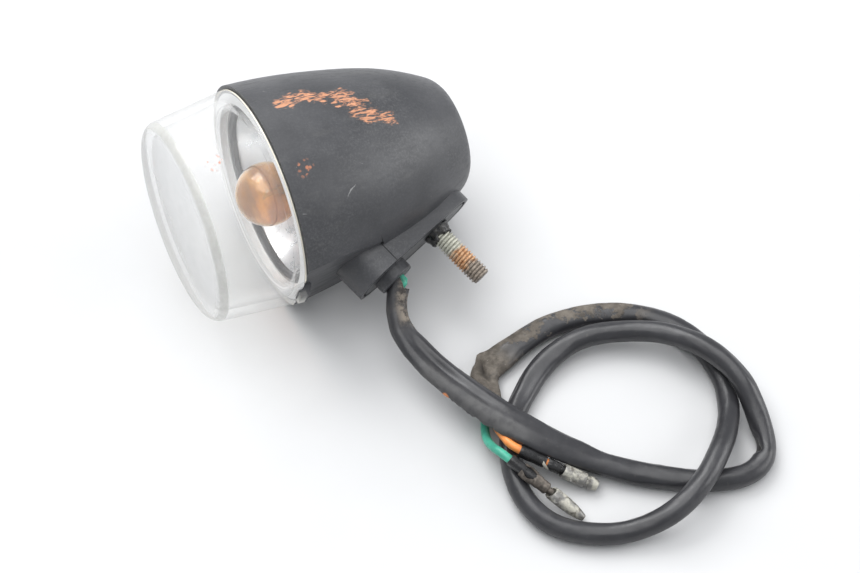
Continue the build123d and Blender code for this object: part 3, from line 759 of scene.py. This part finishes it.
def sleeve_ring(here, tangent, side, up, run, inset=0.0, ragged=0.0):
    """One ring of the sleeve, with its marks."""
    wide, tall, furrow = station(run)
    drop = (3.0 - tall) * smooth((run - RUNS[8]) / 20.0)
    fold = bell(run - RUNS[41] + 0.6, 4.0)
    torn = smooth((run - RUNS[5] - 3) / 6.0) * smooth((RUNS[7] - 3 - run) / 4.0)
    ring, lift, sideways, pressed = [], [], [], []
    for k in range(AROUND):
        angle = FULL * k / AROUND
        c, s = cos(angle), sin(angle)
        x, y = (wide - inset) * c, (tall - inset) * s
        if s > 0:
            y -= 1.15 * furrow * s * bell(x + 0.6, 1.5) * (1 if inset == 0 else 0.6)
            y += 0.22 * furrow * s * bell(x + 2.6, 0.9)
        if c > 0.6 and torn:
            tear = noise.noise((run * 0.33, 4.7, 1.0)) + 0.6 * noise.noise((run * 1.1, 2.1, 8.0))
            x += torn * (c - 0.6) / 0.4 * (0.7 * tear - 0.1)
            y -= torn * (c - 0.6) / 0.4 * 0.25
        lump = noise.noise((run * 0.11, 1.6 * c, 1.6 * s + 7.0)) * 0.16
        lump += noise.noise((run * 0.5, 2.4 * c, 2.4 * s)) * 0.05
        lump += fold * 0.35 * noise.noise((run * 0.9, 3.1 * c, 3.1 * s + 3.0))
        dent = 0.0
        for knot, past, turn, long, span, depth in DENTS:
            off = (angle - radians(turn) + pi) % FULL - pi
            if abs(run - RUNS[knot] - past) < 3 * long:
                dent += depth * bell(run - RUNS[knot] - past, long) * bell(off, radians(span))
        scale = 1 + (lump - dent) / 3.0
        point = here + (side * x * scale + up * (y * scale - drop)) * MM
        if ragged:
            frayed = noise.noise((9.0 * c, 9.0 * s, run)) + 0.6 * noise.noise((3.0 * c, 3.0 * s, 5.0))
            point += tangent * ragged * frayed * MM
        if run < 3.0:
            point -= tangent * 3.5 * smooth(1.4 * c + 0.95) * (1 - run / 3.0) * MM
        ring.append(point)
        lift.append(s)
        sideways.append(c)
        pressed.append(dent)
    return ring, [run] * AROUND, lift, sideways, pressed


skin = []
frames = tube_frames(sleeve_path)
count = len(frames) - 1
for i, step_in, ragged in ((3, 0.62, 0.0), (1, 0.62, 0.0), (0, 0.55, 0.5), (0, 0.25, 0.6)):
    skin.append(sleeve_ring(*frames[i], i * SLEEVE_STEP, step_in, ragged))
for i, spot in enumerate(frames):
    ragged = 0.5 * max(0.0, 1 - i / 2) + 0.4 * max(0.0, 1 - (count - i) / 2)
    skin.append(sleeve_ring(*spot, i * sleeve_length / MM / count, 0.0, ragged))
for i, step_in in ((0, 0.25), (0, 0.55), (1, 0.6), (2, 0.6)):
    skin.append(sleeve_ring(*frames[count - i], (count - i) * SLEEVE_STEP, step_in, 0.4 if i == 0 else 0.0))
sleeve = mesh_piece(
    "sleeve", [part[0] for part in skin], cap_start=True, cap_end=True, sharp=50,
    marks={mark: [part[i] for part in skin] for i, mark in ((1, "run"), (2, "lift"), (3, "side"), (4, "dent"))},
)
finish_with(sleeve, FINISHES["sleeve_pvc"])
place(sleeve, LAMP, "sleeve_pvc", "harness_sleeve")

# ---------------------------------------------------------------- wires from the grommet into the sleeve
WIRE_AROUND = 24                                        # points in one ring of a wire


def wire_rings(path, radius_at):
    """Round rings along a wire, with its radius in millimetres at each point of the path."""
    rings = []
    for i, (here, _, across, over) in enumerate(tube_frames(path)):
        turns = [FULL * k / WIRE_AROUND for k in range(WIRE_AROUND)]
        rings.append([here + (across * cos(turn) + over * sin(turn)) * radius_at(i) * MM for turn in turns])
    return rings


GROMMET_OUT, GROMMET_LENGTH = 3.0, 1.9
for colour, x, y in (("green", -1.3, 0.3), ("orange", 1.3, -0.3)):
    first = face_point(STUD_TO_BOSS + x, y, GROMMET_OUT)
    apart = first - face_point(STUD_TO_BOSS, 0, GROMMET_OUT)
    route = [first, first + OUT * GROMMET_LENGTH * MM]
    route += [sleeve_path[0] + apart * 0.75, sleeve_path[3] + apart * 0.6]
    path, _ = spline_points("link_route_" + colour, route, 0.4 * MM)
    rings = wire_rings(path, lambda i: LEAD_R + 0.02)
    link = mesh_piece("wire_link_" + colour, rings, cap_start=True, cap_end=True)
    finish_with(link, FINISHES[colour + "_wire"])
    place(link, LAMP, colour + "_wire")


# ---------------------------------------------------------------- leads and their terminals
def boot_shape(length, pinch):
    """A snug length of insulation, pinched where the metal inside it ends."""
    def shape(angle, radius, along):
        waist = pinch * bell(along - length * 0.62, 1.1)
        slant = 0.12 * cos(angle) * (along > length / 2)
        return radius * (1 - waist) * (1 + 0.04 * cos(2 * angle + 0.6)), along + slant
    return shape


def even(first, last, count):
    return [first + (last - first) * k / count for k in range(count + 1)]


BORE = 1.22                                             # the boots' inside, round the wire, mm


def boot(name, start, axis, side, length, radius, pinch):
    outside = [(radius * (0.93 if i in (0, 14) else 1.0), z) for i, z in enumerate(even(0.15, length, 14))]
    profile = [(BORE, 0.3)] + outside + [(BORE, length - 0.15)]
    return turned(name, start, axis, side, profile, 40, 35, boot_shape(length, pinch))


def crimped(angle, radius, along):
    """A barrel pressed out of round, with the tool's groove along one side."""
    groove = 0.16 * bell((angle + pi) % FULL - pi, 0.32) * (radius > 1.3)
    return radius * (1 - groove + 0.05 * cos(2 * angle)), along


def slanted(base, slope):
    return lambda angle: base + slope * cos(angle)


def bullet(name, start, axis, side, base, rows, slope):
    """A rolled tin bullet: the seam open along it, the mouth cut on the slant, the tip left hollow."""
    shaped = [(radius, slanted(base + z, slope * max(0.0, 1 - z / 2.5))) for radius, z in rows]
    gap, turned_by = radians(7), 1.0                    # half the open seam, and where round the shell it lies
    return sheet_metal(
        name, start, axis, side, shaped,
        lambda z: gap - turned_by, lambda z: FULL - gap - turned_by, 0.32, 56,
    )


for colour, tail in TAILS.items():
    start, tip = tail["ends"]
    along = (tip - start).normalized()
    side = along.cross(Vector((0, 0, 1))).normalized()
    up = side.cross(along).normalized()
    points = tail["lead"] + [start - along * 2.0 * MM, start + along * (tail["boot"] + BARE) * MM]
    path, _ = spline_points("route_" + colour, points, 0.5 * MM)
    rings = wire_rings(path, lambda i: LEAD_R * (1 + 0.03 * noise.noise((i * 0.21, 3.0, 1.0))))
    lead = mesh_piece("wire_end_" + colour, rings, cap_start=True, cap_end=True)
    finish_with(lead, FINISHES[colour + "_wire"])
    place(lead, LAMP, colour + "_wire", "lead_" + colour)

    reach = (tip - start).length / MM
    base = tail["boot"] + CRIMP_L
    metal = []
    if colour == "green":
        cover = boot("boot_green_skin", start, along, up, tail["boot"] + 0.3, 1.66, 0.05)
        rows = []
        for z in even(4.3, 8.5, 14):
            rows.append((1.98 + 0.16 * smooth((z - 5.2) / 0.5) - 0.14 * smooth((z - 7.4) / 0.5), z))
        metal.append(sheet_metal(
            "wings_green", start, along, up, rows,
            lambda z: radians(26 + 34 * bell(z - 6.6, 1.5)),
            lambda z: FULL - radians(16 + 26 * bell(z - 6.4, 1.6)), 0.34,
        ))
        rows = [
            (1.75, 8.3), (1.86, 8.6), (1.88, 10.2), (1.72, 10.5), (1.76, 12.6), (1.62, 12.9), (1.02, 13.3),
            (0.96, 14.6),
        ]
        shell = [
            (1.75, 0.0), (1.95, 0.4), (2.0, 2.2), (1.97, 4.4), (1.86, 6.2), (1.62, 8.0), (1.32, 9.6),
            (0.98, 10.8), (0.80, reach - base),
        ]
        slope = 0.9
    else:
        cover = boot("boot_orange_skin", start, along, up, tail["boot"] + 0.3, 1.7, 0.05)
        metal.append(sheet_metal(
            "wings_orange", start, along, up, [(1.78, z) for z in even(7.0, 9.2, 6)],
            lambda z: radians(20 + 26 * (z - 7.0)), lambda z: radians(52 + 26 * (z - 7.0)), 0.3, 14,
        ))
        rows = [
            (1.60, 8.4), (1.70, 8.7), (1.68, 10.4), (1.58, 10.7), (1.62, 12.0), (1.36, 12.3), (1.20, 12.6),
            (1.18, 13.4),
        ]
        shell = [
            (1.80, 0.0), (1.97, 0.3), (2.0, 2.0), (2.0, 5.4), (1.94, 6.6), (1.42, 6.9), (1.40, 7.5),
            (1.86, 7.8), (1.88, 8.3), (1.45, reach - base),
        ]
        slope = 0.35
    profile = [(0.7, rows[0][1])] + rows + [(0.7, rows[-1][1])]
    barrel = turned("crimp_" + colour + "_skin", start, along, up, profile, 48, 30, crimped)
    sheath = bullet("bullet_" + colour + "_skin", start, along, up, base, shell, slope)
    for piece, slot, node in (
        (cover, "boot_black", "boot_" + colour),
        (barrel, "crimp_dark" if colour == "green" else "boot_black", "crimp_" + colour),
        (sheath, "terminal_tin", "bullet_" + colour),
    ):
        finish_with(piece, FINISHES[slot])
        place(piece, LAMP, slot, node)
    for piece in metal:
        slot = "crimp_dark" if colour == "green" else "terminal_tin"
        finish_with(piece, FINISHES[slot])
        place(piece, LAMP, slot)

# ---------------------------------------------------------------- contact spring
COIL_R, COIL_WIRE, COIL_FROM, COIL_TO, COIL_TURNS = 4.6, 0.35, 33.85, 41.05, 3.79


def coil_ring(part):
    angle = FULL * COIL_TURNS * part
    centre = round_point(JOINT, REAR, FOOT, angle, COIL_R, COIL_FROM + (COIL_TO - COIL_FROM) * part)
    outward = FOOT * cos(angle) + REAR.cross(FOOT) * sin(angle)
    along = (REAR.cross(outward) * COIL_R * FULL * COIL_TURNS + REAR * (COIL_TO - COIL_FROM)).normalized()
    third = along.cross(outward)
    turns = [FULL * k / 12 for k in range(12)]
    return [centre + (outward * cos(turn) + third * sin(turn)) * COIL_WIRE * MM for turn in turns]


coil = mesh_piece("contact_coil", [coil_ring(k / 140) for k in range(141)], cap_start=True, cap_end=True)
finish_with(coil, FINISHES["spring_steel"])
place(coil, LAMP, "spring_steel", "contact_spring")
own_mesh(coil)

# ---------------------------------------------------------------- threaded stud and its residue
STUD_OUT, PITCH, CREST, ROOT = 18.6, 1.0, 2.95, 2.36


def stud_ring(along, radius_at):
    return [round_point(STUD, OUT, WIREWARD, FULL * k / 60, radius_at(k / 60), along) for k in range(60)]


def thread(along):
    def radius_at(turn):
        phase = (along / PITCH - turn) % 1.0
        flank = min(1.0, max(0.0, 1.3 * (1 - abs(2 * phase - 1)) - 0.12))
        full = ROOT + (CREST - ROOT) * flank
        full += 0.04 * noise.noise((along * 1.7, 4 * cos(FULL * turn), 4 * sin(FULL * turn)))
        return min(full, CREST - max(0.0, along - STUD_OUT + 0.75) * 0.85)
    return radius_at


rings = []
for along, radius in ((-9.0, 0.3), (-9.0, 3.0), (-8.7, 3.4), (1.0, 3.4), (1.5, 2.9)):
    rings.append(stud_ring(along, lambda turn, r=radius: r))
for along in even(1.7, STUD_OUT, 140):
    rings.append(stud_ring(along, thread(along)))
for along, radius in ((STUD_OUT, 1.2), (STUD_OUT - 0.08, 0.3)):
    rings.append(stud_ring(along, lambda turn, r=radius: r))
stud = mesh_piece("stud_thread", rings, cap_start=True, cap_end=True, sharp=50)
finish_with(stud, FINISHES["stud_steel"])
place(stud, LAMP, "stud_steel", "mounting_stud")


def lumpy(angle, radius, along):
    c, s = cos(angle), sin(angle)
    swell = 0.62 * noise.noise((1.7 * c, 1.7 * s, along * 0.7))
    swell += 0.3 * noise.noise((4.2 * c, 4.2 * s, along * 1.9))
    edge = along * (1 + 0.42 * noise.noise((1.9 * c, 1.9 * s, 9.0)) + 0.2 * noise.noise((5 * c, 5 * s, 2.0)))
    return (radius + swell * (radius > 3.0), edge if along > 1.0 else along)


RESIDUE = [
    (2.7, 0.02), (4.1, 0.02), (4.15, 0.5), (3.95, 1.0), (3.75, 1.5), (3.7, 2.0), (3.55, 2.5), (3.2, 2.9),
    (2.7, 3.05),
]
residue = turned("stud_residue", STUD, OUT, WIREWARD, RESIDUE, 72, 60, lumpy)
finish_with(residue, residue_finish())
place(residue, LAMP, "black_rubber", "stud_collar")

# ---------------------------------------------------------------- floor and light
floor_mesh = bpy.data.meshes.new("floor")
FLOOR, FLOOR_Z = 3.0, -0.0001                           # half its width, and a hair below the lead, m
corners = ((-FLOOR, -FLOOR), (FLOOR, -FLOOR), (FLOOR, FLOOR), (-FLOOR, FLOOR))
floor_mesh.from_pydata([(x, y, FLOOR_Z) for x, y in corners], [], [(0, 1, 2, 3)])
floor = new_object("floor", floor_mesh)
floor_finish = Finish("floor", (0.61, 0.613, 0.616), 0.6)
cloudy = floor_finish.ramp(floor_finish.noise(40.0, 4.0), 0.3, 0.8)
floor_finish.colour(floor_finish.tint(cloudy, (0.585, 0.587, 0.591), (0.598, 0.600, 0.604)))
finish_with(floor, floor_finish.material)

world = bpy.data.worlds.new("studio")
world.use_nodes = True
world.node_tree.nodes["Background"].inputs["Color"].default_value = (0.93, 0.96, 1.0, 1.0)
world.node_tree.nodes["Background"].inputs["Strength"].default_value = 0.52
scene.world = world


def softbox(name, location, aim, size, power):
    data = bpy.data.lights.new(name, "AREA")
    data.shape, data.size, data.size_y, data.energy = "RECTANGLE", size[0], size[1], power
    lamp = bpy.data.objects.new(name, data)
    lamp.location = Vector(location)
    lamp.rotation_euler = (Vector(location) - Vector(aim)).to_track_quat("Z", "Y").to_euler()
    scene.collection.objects.link(lamp)


softbox("back_top", (-0.05, 0.75, 0.9), (0, 0, 0), (1.0, 0.7), 10.0)
softbox("above", (-0.08, 0.10, 1.25), (0, 0, 0), (1.4, 1.2), 12.5)
softbox("side", (0.88, -0.42, 0.40), (0.03, -0.02, 0.0), (0.8, 0.6), 5.5)
scene.view_settings.view_transform = "Standard"
